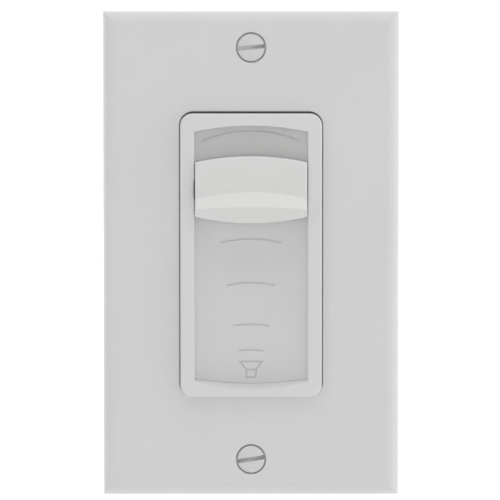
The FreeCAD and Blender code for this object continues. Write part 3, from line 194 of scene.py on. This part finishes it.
WHITE = (0.80, 0.80, 0.795)
LOOKS = {
    "plate_white": moulded("plate_white", WHITE, 0.38, (0.785, 0.785, 0.78)),
    "bezel_white": moulded("bezel_white", (0.82, 0.82, 0.815), 0.42, (0.805, 0.805, 0.80)),
    "scale_white": moulded("scale_white", (0.81, 0.81, 0.805), 0.45, (0.795, 0.795, 0.79)),
    "knob_white": moulded("knob_white", (0.84, 0.837, 0.828), 0.42, (0.825, 0.822, 0.812)),
    "screw_white": painted("screw_white", (0.78, 0.78, 0.775), 0.3),
    "nylon_black": moulded("nylon_black", (0.012, 0.012, 0.013), 0.5, (0.02, 0.02, 0.02)),
    "zinc_steel": rolled("zinc_steel", (0.26, 0.265, 0.27), 0.36),
    "zinc_screw": plated("zinc_screw", (0.50, 0.51, 0.53), 0.28),
    "fibre_red": moulded("fibre_red", (0.30, 0.05, 0.03), 0.7, (0.22, 0.035, 0.02)),
    "housing_grey": moulded("housing_grey", (0.022, 0.023, 0.025), 0.48, (0.03, 0.031, 0.033)),
    "rod_steel": rolled("rod_steel", (0.66, 0.67, 0.69), 0.16),
    "bush_acetal": moulded("bush_acetal", (0.68, 0.66, 0.60), 0.4, (0.62, 0.60, 0.54)),
    "spring_bronze": plated("spring_bronze", (0.72, 0.42, 0.22), 0.28),
    "board_green": solder_mask("board_green", (0.011, 0.095, 0.032), (0.014, 0.12, 0.042)),
    "contact_gold": plated("contact_gold", (0.90, 0.62, 0.24), 0.22),
    "core_steel": varnished_steel("core_steel"),
    "bobbin_nylon": moulded("bobbin_nylon", (0.55, 0.52, 0.42), 0.45, (0.48, 0.45, 0.36)),
    "winding_tape": moulded("winding_tape", (0.62, 0.42, 0.04), 0.25, (0.52, 0.34, 0.03)),
    "tinned_copper": plated("tinned_copper", (0.70, 0.70, 0.68), 0.3),
    "brass_nickel": plated("brass_nickel", (0.50, 0.48, 0.45), 0.26),
    "terminal_green": moulded("terminal_green", (0.018, 0.17, 0.05), 0.4, (0.022, 0.20, 0.06)),
    "header_black": moulded("header_black", (0.014, 0.014, 0.016), 0.45, (0.02, 0.02, 0.022)),
    "shunt_blue": moulded("shunt_blue", (0.012, 0.035, 0.28), 0.4, (0.016, 0.045, 0.34)),
}

for entry in frame["record"]["subparts"]:
    node = frame["nodes"][entry["node"]]
    node.data.materials.clear()
    node.data.materials.append(LOOKS[entry["material_slot"]])


# ---------------------------------------------------------------- pieces

SLOTS = {entry["node"]: entry["material_slot"] for entry in frame["record"]["subparts"]}
BODIES = {node: body for body, nodes in frame["record"]["behaviour"]["bodies"].items() for node in nodes}
ENAMELLED_WIRE = plated("enamelled_wire", (0.62, 0.20, 0.07), 0.3)
TRACK_MASK = solder_mask("track_mask", (0.022, 0.19, 0.06), (0.02, 0.17, 0.055))


def add_piece(name, mesh, slot, stands_for=None, look=None, crease=35):
    """Finishes a mesh as a piece on the control frame, or on the body of the node it stands for."""
    data = bpy.data.meshes.new(name)
    bmesh.ops.recalc_face_normals(mesh, faces=mesh.faces)
    for face in mesh.faces:
        face.smooth = True
    mesh.to_mesh(data)
    mesh.free()
    data.set_sharp_from_angle(angle=math.radians(crease))
    data.materials.append(look or LOOKS[slot])
    piece = bpy.data.objects.new(name, data)
    bpy.context.scene.collection.objects.link(piece)
    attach(piece, BODIES.get(stands_for, "control_frame"))
    if stands_for:
        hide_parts(stands_for)


def node_mesh(node):
    """A node's mesh with its split corners joined and its flat faces merged."""
    mesh = bmesh.new()
    mesh.from_mesh(frame["nodes"][node].data)
    bmesh.ops.remove_doubles(mesh, verts=mesh.verts, dist=MICRON)
    bmesh.ops.dissolve_limit(mesh, angle_limit=math.radians(1), verts=mesh.verts, edges=mesh.edges)
    return mesh


def ease_edges(node, radius):
    """Stands in for a node with a copy whose long straight edges are rounded."""
    mesh = node_mesh(node)
    corners = [
        edge
        for edge in mesh.edges
        if len(edge.link_faces) == 2
        and edge.calc_face_angle() > math.radians(50)
        and edge.calc_length() > 4 * radius
    ]
    bmesh.ops.bevel(
        mesh, geom=corners, offset=radius, offset_type="OFFSET", segments=3, profile=0.5, affect="EDGES",
        clamp_overlap=True,
    )
    add_piece(f"{node}_eased", mesh, SLOTS[node], node)


def islands(node):
    """The boxes of a node's separate solids, each as its lowest and highest corner."""
    mesh = bmesh.new()
    mesh.from_mesh(frame["nodes"][node].data)
    bmesh.ops.remove_doubles(mesh, verts=mesh.verts, dist=MICRON)
    waiting = set(mesh.verts)
    boxes = []
    while waiting:
        reached = [waiting.pop()]
        for vertex in reached:
            for edge in vertex.link_edges:
                other = edge.other_vert(vertex)
                if other in waiting:
                    waiting.remove(other)
                    reached.append(other)
        places = [vertex.co for vertex in reached]
        low = Vector(min(place[axis] for place in places) for axis in range(3))
        high = Vector(max(place[axis] for place in places) for axis in range(3))
        boxes.append((low, high))
    mesh.free()
    return sorted(boxes, key=lambda pair: tuple(round(value, 6) for value in pair[0]))


def add_rings(mesh, rings):
    """Joins closed rings of points with quads, and gives the new rings of corners."""
    made = [[mesh.verts.new(point) for point in ring] for ring in rings]
    for lower, upper in zip(made, made[1:]):
        count = len(lower)
        for index in range(count):
            following = (index + 1) % count
            mesh.faces.new((lower[index], lower[following], upper[following], upper[index]))
    return made


def circle(centre_x, centre_z, y, radius, sides):
    turns = [2 * math.pi * side / sides for side in range(sides)]
    return [(centre_x + radius * math.cos(turn), y, centre_z + radius * math.sin(turn)) for turn in turns]


# ---- screw threads


def cut_thread(node, pitch, root, starts):
    """Stands in for a screw with a copy whose shank carries a rolled thread from y = starts."""
    mesh = bmesh.new()
    mesh.from_mesh(frame["nodes"][node].data)
    bmesh.ops.remove_doubles(mesh, verts=mesh.verts, dist=MICRON)
    low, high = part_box(node)
    middle_z = (low.z + high.z) / 2
    shank = [vertex for vertex in mesh.verts if vertex.co.y > starts - 0.01 * MM]
    crest = max(math.hypot(vertex.co.x, vertex.co.z - middle_z) for vertex in shank)
    for vertex in shank:
        reach = math.hypot(vertex.co.x, vertex.co.z - middle_z)
        if reach > root:
            vertex.co.x *= root / reach
            vertex.co.z = middle_z + (vertex.co.z - middle_z) * root / reach
    sides, sunk = 24, 0.06 * MM
    half_foot, half_tip = pitch * 0.42, pitch * 0.07
    first, last = starts + half_foot, high.y - crest
    rings = []
    steps = int((last - first) / pitch * sides)
    for step in range(steps + 1):
        turn = 2 * math.pi * step / sides
        y = first + pitch * step / sides
        fade = min(1.0, step / sides, (steps - step) / sides)
        top = root + (crest - root) * fade
        profile = [(root - sunk, -half_foot), (top, -half_tip), (top, half_tip), (root - sunk, half_foot)]
        rings.append(
            [(r * math.cos(turn), y + along, middle_z + r * math.sin(turn)) for r, along in profile]
        )
    made = add_rings(mesh, rings)
    mesh.faces.new(made[0])
    mesh.faces.new(reversed(made[-1]))
    add_piece(f"{node}_threaded", mesh, SLOTS[node], node, crease=30)


# ---- transformers


def add_core(node):
    """A stack of thin E and I plates, each with its own slightly rolled edge."""
    low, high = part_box(node)
    leg = (high.z - low.z) / 5
    plates, roll = 28, 0.05 * MM
    thickness = (high.y - low.y) / plates
    across = [low.x, low.x + leg, -leg, leg, high.x - leg, high.x]
    up = [low.z, low.z + leg, high.z - leg, high.z]
    depths = []
    for plate in range(plates):
        start = low.y + plate * thickness
        set_back = 0.03 * MM * (plate % 2)
        depths += [
            (start, roll + set_back),
            (start + roll, set_back),
            (start + thickness - roll, set_back),
            (start + thickness, roll + set_back),
        ]
    mesh = bmesh.new()
    outline = (
        [(x, up[0]) for x in across[:-1]]
        + [(across[-1], z) for z in up[:-1]]
        + [(x, up[-1]) for x in reversed(across[1:])]
        + [(across[0], z) for z in reversed(up[1:])]
    )
    loops = [(outline, 1)]
    for left, right in ((across[1], across[2]), (across[3], across[4])):
        window = [(left, up[1]), (right, up[1]), (right, up[2]), (left, up[2])]
        loops.append((window, -1))
    ends = []
    for loop, inwards in loops:
        middle_x = (min(p[0] for p in loop) + max(p[0] for p in loop)) / 2
        middle_z = (min(p[1] for p in loop) + max(p[1] for p in loop)) / 2
        half_x = max(p[0] for p in loop) - middle_x
        half_z = max(p[1] for p in loop) - middle_z
        rings = []
        for y, inset in depths:
            ring = []
            for x, z in loop:
                on_side = abs(abs(x - middle_x) - half_x) < MICRON
                on_end = abs(abs(z - middle_z) - half_z) < MICRON
                moved_x = x - math.copysign(inset * inwards, x - middle_x) if on_side else x
                moved_z = z - math.copysign(inset * inwards, z - middle_z) if on_end else z
                ring.append((moved_x, y, moved_z))
            rings.append(ring)
        made = add_rings(mesh, rings)
        ends.append((made[0], made[-1]))
    for end in (0, 1):
        corners = [ring[end] for ring in ends]
        edges = []
        for ring in corners:
            for index, vertex in enumerate(ring):
                edges.append(mesh.edges.get((vertex, ring[(index + 1) % len(ring)])))
        bmesh.ops.triangle_fill(mesh, edges=edges, use_beauty=True)
    add_piece(f"{node}_plates", mesh, SLOTS[node], node, crease=20)


def rounded_outline(half_x, half_y, corner):
    """Points round a rectangle with rounded corners, centred on the origin."""
    steps = 8
    points = []
    for index, (sign_x, sign_y) in enumerate(((1, 1), (-1, 1), (-1, -1), (1, -1))):
        for step in range(steps + 1):
            turn = math.pi / 2 * (index + step / steps)
            x = sign_x * (half_x - corner) + corner * math.cos(turn)
            y = sign_y * (half_y - corner) + corner * math.sin(turn)
            points.append((x, y))
    return points


def add_winding(node):
    """Enamelled wire laid turn by turn, with a wrap of tape round its middle."""
    low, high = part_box(node)
    half_x, half_y = (high.x - low.x) / 2, (high.y - low.y) / 2
    middle_y, middle_z = (low.y + high.y) / 2, (low.z + high.z) / 2
    corner, turns, steps = 4.0 * MM, 27, 6
    pitch = (high.z - low.z) / turns
    tape, under = 0.12 * MM, 0.25 * MM

    def ring(out, z, lean=0.0):
        points = rounded_outline(half_x + out, half_y + out, corner + out)
        count = len(points)
        return [
            (x, middle_y + y, z + lean * math.sin(2 * math.pi * index / count))
            for index, (x, y) in enumerate(points)
        ]

    mesh = bmesh.new()
    rings = []
    for turn in range(turns):
        for step in range(steps):
            share = (step + 0.5) / steps * 2 - 1
            bulge = pitch / 2 * (math.sqrt(1 - share * share) - 1)
            z = low.z + pitch * (turn + (step + 0.5) / steps)
            rings.append(ring(bulge - under, z))
    made = add_rings(mesh, rings)
    for end in (made[0], list(reversed(made[-1]))):
        mesh.faces.new(end)
    add_piece(f"{node}_wire", mesh, SLOTS[node], node, look=ENAMELLED_WIRE, crease=50)

    mesh = bmesh.new()
    half_wrap = (high.z - low.z) * 0.36
    wrap = [
        (-1.0, -under),
        (-1.0, -tape),
        (-0.985, -tape / 2),
        (0.0, 0.0),
        (0.985, -tape / 2),
        (1.0, -tape),
        (1.0, -under),
    ]
    rings = [ring(out, middle_z + share * half_wrap, lean=0.12 * MM) for share, out in wrap]
    add_rings(mesh, rings)
    add_piece(f"{node}_tape", mesh, SLOTS[node], crease=50)


# ---- circuit boards


def add_solder(name, nodes, face_y, facing, radius, height):
    """Solder fillets where pins pass through a board's face, all as one piece."""
    mesh = bmesh.new()
    profile = [(1.0, 0.0), (0.98, 0.06), (0.72, 0.22), (0.52, 0.5), (0.44, 0.8), (0.36, 1.0)]
    for node in nodes:
        for low, high in islands(node):
            x, z = (low.x + high.x) / 2, (low.z + high.z) / 2
            rings = [
                circle(x, z, face_y + facing * height * up, radius * share, 16) for share, up in profile
            ]
            made = add_rings(mesh, rings)
            mesh.faces.new(made[0])
            mesh.faces.new(made[-1])
    add_piece(name, mesh, "tinned_copper", crease=60)


def add_tracks(name, face_y, facing, lanes, half_width):
    """Copper tracks that stand a little proud under the solder mask, one strip along each lane."""
    mesh = bmesh.new()
    lift, slope, sunk = 0.05 * MM, 0.04 * MM, 0.02 * MM
    section = [(-1, 0, -sunk), (-1, -slope, lift), (1, -slope, lift), (1, 0, -sunk)]
    for lane in lanes:
        points = [Vector((x, 0, z)) for x, z in lane]
        runs = [(after - before).normalized() for before, after in zip(points, points[1:])]
        sides = [Vector((-run.z, 0, run.x)) for run in runs]
        rings = []
        for index, point in enumerate(points):
            before, after = sides[max(index - 1, 0)], sides[min(index, len(sides) - 1)]
            mitre = (before + after) / (1 + before.dot(after))
            ring = []
            for across, inset, height in section:
                place = point + mitre * across * (half_width + inset)
                ring.append((place.x, face_y + facing * height, place.z))
            rings.append(ring)
        made = add_rings(mesh, rings)
        mesh.faces.new(made[0])
        mesh.faces.new(reversed(made[-1]))
    add_piece(name, mesh, "board_green", look=TRACK_MASK, crease=25)


def inner_row(node):
    """The middles of those pins of a node that are nearest the control's centre."""
    places = [((low.x + high.x) / 2, (low.z + high.z) / 2) for low, high in islands(node)]
    nearest = min(abs(z) for _x, z in places)
    return [(x, z) for x, z in places if abs(z) < nearest + 0.1 * MM]


def rear_lanes():
    """Routes of the tracks on the rear board, each a list of (x, z) places."""
    lanes = []
    link_rows = inner_row("link_pins")
    side, join = 14.6 * MM, 9.2 * MM
    for name, up in (("upper", 1), ("lower", -1)):
        row_z = min((z for _x, z in link_rows), key=lambda z: abs(z - up * join))
        for x, z in inner_row(f"bobbin_pins_{name}"):
            lanes.append([(x, row_z), (x, z)])
    for name, up in (("input", 1), ("output", -1)):
        row_z = min((z for _x, z in link_rows), key=lambda z: abs(z - up * join))
        last_link = max(x for x, _z in link_rows)
        pins = inner_row(f"{name}_header_pins")
        for across in (1, -1):
            x, z = max(pins, key=lambda place: place[0] * across)
            edge = across * side
            end = across * last_link
            lanes.append([(x, z), (edge, z), (edge, up * join), (end, row_z + up * join / 2), (end, row_z)])
    return lanes


# Nodes with moulded or folded edges, and the radius of those edges.
EASED = {
    0.12 * MM: ("input_header", "output_header", "jumper_header_left", "jumper_header_right"),
    0.15 * MM: ("switch_housing", "link_carrier", "bobbin_upper", "bobbin_lower"),
    0.2 * MM: ("jumper_shunt_left", "jumper_shunt_right"),
    0.25 * MM: ("input_plug", "output_plug", "core_clip_upper", "core_clip_lower"),
}
# Screws with a 6-32 thread: the radius at its root, and how far in front of the wall it starts.
THREAD_PITCH = 0.79 * MM
THREADED = {
    "box_screw_upper": (1.38 * MM, 0.0),
    "box_screw_lower": (1.38 * MM, 0.0),
    "plate_screw_upper": (1.33 * MM, 3.7 * MM),
    "plate_screw_lower": (1.33 * MM, 3.7 * MM),
}

for radius, nodes in EASED.items():
    for node in nodes:
        ease_edges(node, radius)
for node, (root, in_front) in THREADED.items():
    cut_thread(node, THREAD_PITCH, root, -in_front)
for name in ("upper", "lower"):
    add_core(f"core_{name}")
    add_winding(f"winding_{name}")

REAR_FRONT, REAR_BACK = (corner.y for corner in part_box("rear_board"))
CONTACT_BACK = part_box("contact_board")[1].y
BACKWARDS, FORWARDS = 1, -1
TRACK_HALF_WIDTH = 0.35 * MM
# The solder on each face: the nodes whose pins come through, the face and the way it looks,
# and the radius and height of one fillet.
SOLDERED = {
    "rear_solder": (
        ["link_pins", "bobbin_pins_upper", "bobbin_pins_lower"], REAR_BACK, BACKWARDS, 0.85 * MM, 0.6 * MM
    ),
    "contact_solder": (["link_pins"], CONTACT_BACK, BACKWARDS, 0.85 * MM, 0.7 * MM),
    "terminal_solder": (
        ["input_header_pins", "output_header_pins"], REAR_FRONT, FORWARDS, 1.3 * MM, 1.1 * MM
    ),
    "jumper_solder": (["jumper_pins"], REAR_FRONT, FORWARDS, 0.95 * MM, 0.8 * MM),
}

for name, placing in SOLDERED.items():
    add_solder(name, *placing)
add_tracks("rear_tracks", REAR_BACK, BACKWARDS, rear_lanes(), TRACK_HALF_WIDTH)


# ---------------------------------------------------------------- room, light and camera


# Soft boxes round the object: where each stands, its width and height in metres, and its watts.
SOFT_BOXES = {
    "right": ((0.85, -0.4, 0.1), (1.0, 1.0), 1.1),
    "right_edge": ((0.9, -0.1, 0.1), (0.3, 0.8), 1.1),
    "left_near": ((-0.73, -0.68, 0.1), (0.25, 0.8), 0.85),
    "top": ((0.0, -0.3, 0.95), (1.4, 0.8), 3.6),
    "front": ((0.0, -1.3, 0.1), (0.6, 0.5), 0.53),
    "rear_left": ((-0.7, 0.7, 0.6), (0.5, 0.5), 1.6),
    "rear_right": ((0.7, 0.7, 0.6), (0.5, 0.5), 1.6),
}
WORLD_GLOW = 0.46
BACKDROP_GLOW = 1.0


def area_light(name, place, size, power):
    data = bpy.data.lights.new(name, "AREA")
    data.shape = "RECTANGLE"
    data.size, data.size_y = size
    data.energy = power
    light = bpy.data.objects.new(name, data)
    light.location = place
    light.rotation_euler = (-Vector(place)).to_track_quat("-Z", "Y").to_euler()
    bpy.context.scene.collection.objects.link(light)


def add_backdrop():
    """A pale floor that curves up into a white backdrop, which glows where it stands upright."""
    floor, back, radius, half_width = -0.45, 1.5, 0.15, 4.0
    front, top = -4.0, 2.5
    profile = [(front, floor), (back - radius, floor)]
    steps = 12
    for step in range(1, steps):
        angle = math.pi / 2 * step / steps
        y = back - radius + radius * math.sin(angle)
        profile.append((y, floor + radius - radius * math.cos(angle)))
    profile += [(back, floor + radius), (back, top)]
    mesh = bmesh.new()
    rows = [[mesh.verts.new((x, y, z)) for x in (-half_width, half_width)] for y, z in profile]
    for lower, upper in zip(rows, rows[1:]):
        mesh.faces.new((lower[0], lower[1], upper[1], upper[0])).smooth = True
    mesh.faces.ensure_lookup_table()
    mesh.faces[-1].material_index = 1
    data = bpy.data.meshes.new("backdrop")
    mesh.to_mesh(data)
    mesh.free()
    backdrop = bpy.data.objects.new("backdrop", data)
    bpy.context.scene.collection.objects.link(backdrop)
    for name, glow in (("floor_paper", 0.0), ("backdrop_paper", BACKDROP_GLOW)):
        look = Look(name, (0.86, 0.86, 0.86), 0.9, specular=0.1)
        look.vary_color((0.84, 0.84, 0.84), 0.3)
        look.set("Emission Color", (1.0, 1.0, 1.0, 1.0))
        look.set("Emission Strength", glow)
        data.materials.append(look.material)


def add_world():
    """White light from every side, for the soft fill of the studio."""
    world = bpy.data.worlds.new("studio")
    world.use_nodes = True
    background = world.node_tree.nodes["Background"]
    background.inputs["Color"].default_value = (1.0, 1.0, 1.0, 1.0)
    background.inputs["Strength"].default_value = WORLD_GLOW
    bpy.context.scene.world = world


def add_camera():
    """Looks square at the plate from a little above, through a long lens."""
    distance, elevation, view_width = 0.6, math.radians(3.05), 0.11743
    target = Vector((-0.26 * MM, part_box("wall_plate")[0].y, 0.99 * MM))
    data = bpy.data.cameras.new("camera")
    data.sensor_width = 36.0
    data.lens = data.sensor_width * distance / view_width
    data.clip_start = 0.01
    camera = bpy.data.objects.new("camera", data)
    camera.location = target + distance * Vector((0.0, -math.cos(elevation), math.sin(elevation)))
    camera.rotation_euler = (target - camera.location).to_track_quat("-Z", "Y").to_euler()
    bpy.context.scene.collection.objects.link(camera)
    bpy.context.scene.camera = camera


add_backdrop()
add_world()
for name, (place, size, power) in SOFT_BOXES.items():
    area_light(name, place, size, power)
add_camera()
bpy.context.scene.view_settings.view_transform = "Standard"
